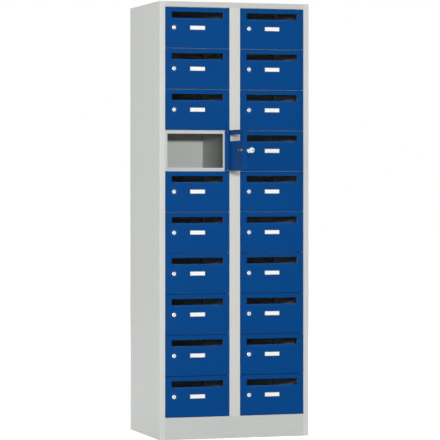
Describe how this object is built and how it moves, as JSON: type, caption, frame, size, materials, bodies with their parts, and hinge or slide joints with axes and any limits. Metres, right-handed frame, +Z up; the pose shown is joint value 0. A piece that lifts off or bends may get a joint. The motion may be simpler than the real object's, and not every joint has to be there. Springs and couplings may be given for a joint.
{
  "type": "mail distribution cabinet",
  "caption": "Free-standing steel mail cabinet with two columns of lockable letter boxes, each with a slotted, hinged door, a cam lock and a label holder.",
  "frame": {"origin": "on the floor, at the centre of the carcass footprint (700 by 500 mm, front of the stiles to the back of the rear flanges)", "axes": "+X to the right seen from the front, +Y to the back, +Z up; the doors are on the -Y side"},
  "size_m": [0.7, 0.7879, 1.95],
  "materials": {
    "carcass_paint": "light grey powder coat, satin",
    "door_paint": "blue powder coat, satin",
    "lock_metal": "nickel plated",
    "key_metal": "nickel plated, polished",
    "zinc_steel": "zinc plated"
  },
  "bodies": {
    "carcass": {"left_side": "carcass_paint", "right_side": "carcass_paint", "back_panel": "carcass_paint", "roof": "carcass_paint", "base_floor": "carcass_paint", "plinth": "carcass_paint", "bottom_rail": "carcass_paint", "top_rail": "carcass_paint", "centre_post": "carcass_paint", "left_frame_channel": "carcass_paint", "right_frame_channel": "carcass_paint", "centre_partition": "carcass_paint", "shelves_left": "carcass_paint", "shelves_right": "carcass_paint", "cross_rails_left": "carcass_paint", "cross_rails_right": "carcass_paint", "hinge_lugs": "zinc_steel", "hinge_pins_left": "zinc_steel", "hinge_pins_right": "zinc_steel"},
    "door_L01": {"door_L01": "door_paint"},
    "door_L02": {"door_L02": "door_paint"},
    "door_L03": {"door_L03": "door_paint"},
    "door_L04": {"door_L04": "door_paint"},
    "door_L05": {"door_L05": "door_paint"},
    "door_L06": {"door_L06": "door_paint"},
    "door_L07": {"door_L07": "door_paint"},
    "door_L08": {"door_L08": "door_paint"},
    "door_L09": {"door_L09": "door_paint"},
    "door_L10": {"door_L10": "door_paint"},
    "door_R01": {"door_R01": "door_paint"},
    "door_R02": {"door_R02": "door_paint"},
    "door_R03": {"door_R03": "door_paint"},
    "door_R04": {"door_R04": "door_paint"},
    "door_R05": {"door_R05": "door_paint"},
    "door_R06": {"door_R06": "door_paint"},
    "door_R07": {"door_R07": "door_paint"},
    "door_R08": {"door_R08": "door_paint"},
    "door_R09": {"door_R09": "door_paint"},
    "door_R10": {"door_R10": "door_paint"},
    "lock_L01": {"lock_L01": "lock_metal"},
    "lock_L02": {"lock_L02": "lock_metal"},
    "lock_L03": {"lock_L03": "lock_metal"},
    "lock_L04": {"lock_L04": "lock_metal"},
    "lock_L05": {"lock_L05": "lock_metal"},
    "lock_L06": {"lock_L06": "lock_metal"},
    "lock_L07": {"lock_L07": "lock_metal"},
    "lock_L08": {"lock_L08": "lock_metal"},
    "lock_L09": {"lock_L09": "lock_metal"},
    "lock_L10": {"lock_L10": "lock_metal"},
    "lock_R01": {"lock_R01": "lock_metal"},
    "lock_R02": {"lock_R02": "lock_metal"},
    "lock_R03": {"lock_R03": "lock_metal"},
    "lock_R04": {"lock_R04": "lock_metal"},
    "lock_R05": {"lock_R05": "lock_metal"},
    "lock_R06": {"lock_R06": "lock_metal"},
    "lock_R07": {"lock_R07": "lock_metal"},
    "lock_R08": {"lock_R08": "lock_metal"},
    "lock_R09": {"lock_R09": "lock_metal"},
    "lock_R10": {"lock_R10": "lock_metal"},
    "key_L04": {"key_L04": "key_metal"}
  },
  "joints": [
    {"name": "door_L04_hinge", "type": "hinge", "parent": "carcass", "child": "door_L04", "pos_m": [-0.031, -0.246, 1.28625], "axis": [0, 0, 1], "range_deg": [-88, 22]},
    {"name": "lock_L04_turn", "type": "hinge", "parent": "door_L04", "child": "lock_L04", "pos_m": [-0.03983, -0.49885, 1.28625], "axis": [-0.9994, 0.0349, 0], "range_deg": [0, 90]},
    {"name": "key_L04_slide", "type": "slide", "parent": "lock_L04", "child": "key_L04", "axis": [0.9994, -0.0349, 0], "range_m": [0, 0.03]},
    {"name": "door_R04_hinge", "type": "hinge", "parent": "carcass", "child": "door_R04", "pos_m": [0.319, -0.246, 1.28625], "axis": [0, 0, 1], "range_deg": [0, 110]},
    {"name": "door_L03_hinge", "type": "hinge", "parent": "carcass", "child": "door_L03", "pos_m": [-0.031, -0.246, 1.46875], "axis": [0, 0, 1], "range_deg": [0, 110]},
    {"name": "door_L05_hinge", "type": "hinge", "parent": "carcass", "child": "door_L05", "pos_m": [-0.031, -0.246, 1.10375], "axis": [0, 0, 1], "range_deg": [0, 110]},
    {"name": "door_L01_hinge", "type": "hinge", "parent": "carcass", "child": "door_L01", "pos_m": [-0.031, -0.246, 1.83375], "axis": [0, 0, 1], "range_deg": [0, 110]},
    {"name": "door_L10_hinge", "type": "hinge", "parent": "carcass", "child": "door_L10", "pos_m": [-0.031, -0.246, 0.19125], "axis": [0, 0, 1], "range_deg": [0, 110]},
    {"name": "door_R01_hinge", "type": "hinge", "parent": "carcass", "child": "door_R01", "pos_m": [0.319, -0.246, 1.83375], "axis": [0, 0, 1], "range_deg": [0, 110]},
    {"name": "door_R10_hinge", "type": "hinge", "parent": "carcass", "child": "door_R10", "pos_m": [0.319, -0.246, 0.19125], "axis": [0, 0, 1], "range_deg": [0, 110]},
    {"name": "door_L02_hinge", "type": "hinge", "parent": "carcass", "child": "door_L02", "pos_m": [-0.031, -0.246, 1.65125], "axis": [0, 0, 1], "range_deg": [0, 110]},
    {"name": "door_L06_hinge", "type": "hinge", "parent": "carcass", "child": "door_L06", "pos_m": [-0.031, -0.246, 0.92125], "axis": [0, 0, 1], "range_deg": [0, 110]},
    {"name": "door_L07_hinge", "type": "hinge", "parent": "carcass", "child": "door_L07", "pos_m": [-0.031, -0.246, 0.73875], "axis": [0, 0, 1], "range_deg": [0, 110]},
    {"name": "door_L08_hinge", "type": "hinge", "parent": "carcass", "child": "door_L08", "pos_m": [-0.031, -0.246, 0.55625], "axis": [0, 0, 1], "range_deg": [0, 110]},
    {"name": "door_L09_hinge", "type": "hinge", "parent": "carcass", "child": "door_L09", "pos_m": [-0.031, -0.246, 0.37375], "axis": [0, 0, 1], "range_deg": [0, 110]},
    {"name": "door_R02_hinge", "type": "hinge", "parent": "carcass", "child": "door_R02", "pos_m": [0.319, -0.246, 1.65125], "axis": [0, 0, 1], "range_deg": [0, 110]},
    {"name": "door_R03_hinge", "type": "hinge", "parent": "carcass", "child": "door_R03", "pos_m": [0.319, -0.246, 1.46875], "axis": [0, 0, 1], "range_deg": [0, 110]},
    {"name": "door_R05_hinge", "type": "hinge", "parent": "carcass", "child": "door_R05", "pos_m": [0.319, -0.246, 1.10375], "axis": [0, 0, 1], "range_deg": [0, 110]},
    {"name": "door_R06_hinge", "type": "hinge", "parent": "carcass", "child": "door_R06", "pos_m": [0.319, -0.246, 0.92125], "axis": [0, 0, 1], "range_deg": [0, 110]},
    {"name": "door_R07_hinge", "type": "hinge", "parent": "carcass", "child": "door_R07", "pos_m": [0.319, -0.246, 0.73875], "axis": [0, 0, 1], "range_deg": [0, 110]},
    {"name": "door_R08_hinge", "type": "hinge", "parent": "carcass", "child": "door_R08", "pos_m": [0.319, -0.246, 0.55625], "axis": [0, 0, 1], "range_deg": [0, 110]},
    {"name": "door_R09_hinge", "type": "hinge", "parent": "carcass", "child": "door_R09", "pos_m": [0.319, -0.246, 0.37375], "axis": [0, 0, 1], "range_deg": [0, 110]},
    {"name": "lock_R04_turn", "type": "hinge", "parent": "door_R04", "child": "lock_R04", "pos_m": [0.066, -0.246, 1.28625], "axis": [0, 1, 0], "range_deg": [0, 90]},
    {"name": "lock_L03_turn", "type": "hinge", "parent": "door_L03", "child": "lock_L03", "pos_m": [-0.284, -0.246, 1.46875], "axis": [0, 1, 0], "range_deg": [0, 90]},
    {"name": "lock_L05_turn", "type": "hinge", "parent": "door_L05", "child": "lock_L05", "pos_m": [-0.284, -0.246, 1.10375], "axis": [0, 1, 0], "range_deg": [0, 90]},
    {"name": "lock_L01_turn", "type": "hinge", "parent": "door_L01", "child": "lock_L01", "pos_m": [-0.284, -0.246, 1.83375], "axis": [0, 1, 0], "range_deg": [0, 90]},
    {"name": "lock_L10_turn", "type": "hinge", "parent": "door_L10", "child": "lock_L10", "pos_m": [-0.284, -0.246, 0.19125], "axis": [0, 1, 0], "range_deg": [0, 90]},
    {"name": "lock_R01_turn", "type": "hinge", "parent": "door_R01", "child": "lock_R01", "pos_m": [0.066, -0.246, 1.83375], "axis": [0, 1, 0], "range_deg": [0, 90]},
    {"name": "lock_R10_turn", "type": "hinge", "parent": "door_R10", "child": "lock_R10", "pos_m": [0.066, -0.246, 0.19125], "axis": [0, 1, 0], "range_deg": [0, 90]},
    {"name": "lock_L02_turn", "type": "hinge", "parent": "door_L02", "child": "lock_L02", "pos_m": [-0.284, -0.246, 1.65125], "axis": [0, 1, 0], "range_deg": [0, 90]},
    {"name": "lock_L06_turn", "type": "hinge", "parent": "door_L06", "child": "lock_L06", "pos_m": [-0.284, -0.246, 0.92125], "axis": [0, 1, 0], "range_deg": [0, 90]},
    {"name": "lock_L07_turn", "type": "hinge", "parent": "door_L07", "child": "lock_L07", "pos_m": [-0.284, -0.246, 0.73875], "axis": [0, 1, 0], "range_deg": [0, 90]},
    {"name": "lock_L08_turn", "type": "hinge", "parent": "door_L08", "child": "lock_L08", "pos_m": [-0.284, -0.246, 0.55625], "axis": [0, 1, 0], "range_deg": [0, 90]},
    {"name": "lock_L09_turn", "type": "hinge", "parent": "door_L09", "child": "lock_L09", "pos_m": [-0.284, -0.246, 0.37375], "axis": [0, 1, 0], "range_deg": [0, 90]},
    {"name": "lock_R02_turn", "type": "hinge", "parent": "door_R02", "child": "lock_R02", "pos_m": [0.066, -0.246, 1.65125], "axis": [0, 1, 0], "range_deg": [0, 90]},
    {"name": "lock_R03_turn", "type": "hinge", "parent": "door_R03", "child": "lock_R03", "pos_m": [0.066, -0.246, 1.46875], "axis": [0, 1, 0], "range_deg": [0, 90]},
    {"name": "lock_R05_turn", "type": "hinge", "parent": "door_R05", "child": "lock_R05", "pos_m": [0.066, -0.246, 1.10375], "axis": [0, 1, 0], "range_deg": [0, 90]},
    {"name": "lock_R06_turn", "type": "hinge", "parent": "door_R06", "child": "lock_R06", "pos_m": [0.066, -0.246, 0.92125], "axis": [0, 1, 0], "range_deg": [0, 90]},
    {"name": "lock_R07_turn", "type": "hinge", "parent": "door_R07", "child": "lock_R07", "pos_m": [0.066, -0.246, 0.73875], "axis": [0, 1, 0], "range_deg": [0, 90]},
    {"name": "lock_R08_turn", "type": "hinge", "parent": "door_R08", "child": "lock_R08", "pos_m": [0.066, -0.246, 0.55625], "axis": [0, 1, 0], "range_deg": [0, 90]},
    {"name": "lock_R09_turn", "type": "hinge", "parent": "door_R09", "child": "lock_R09", "pos_m": [0.066, -0.246, 0.37375], "axis": [0, 1, 0], "range_deg": [0, 90]}
  ]
}
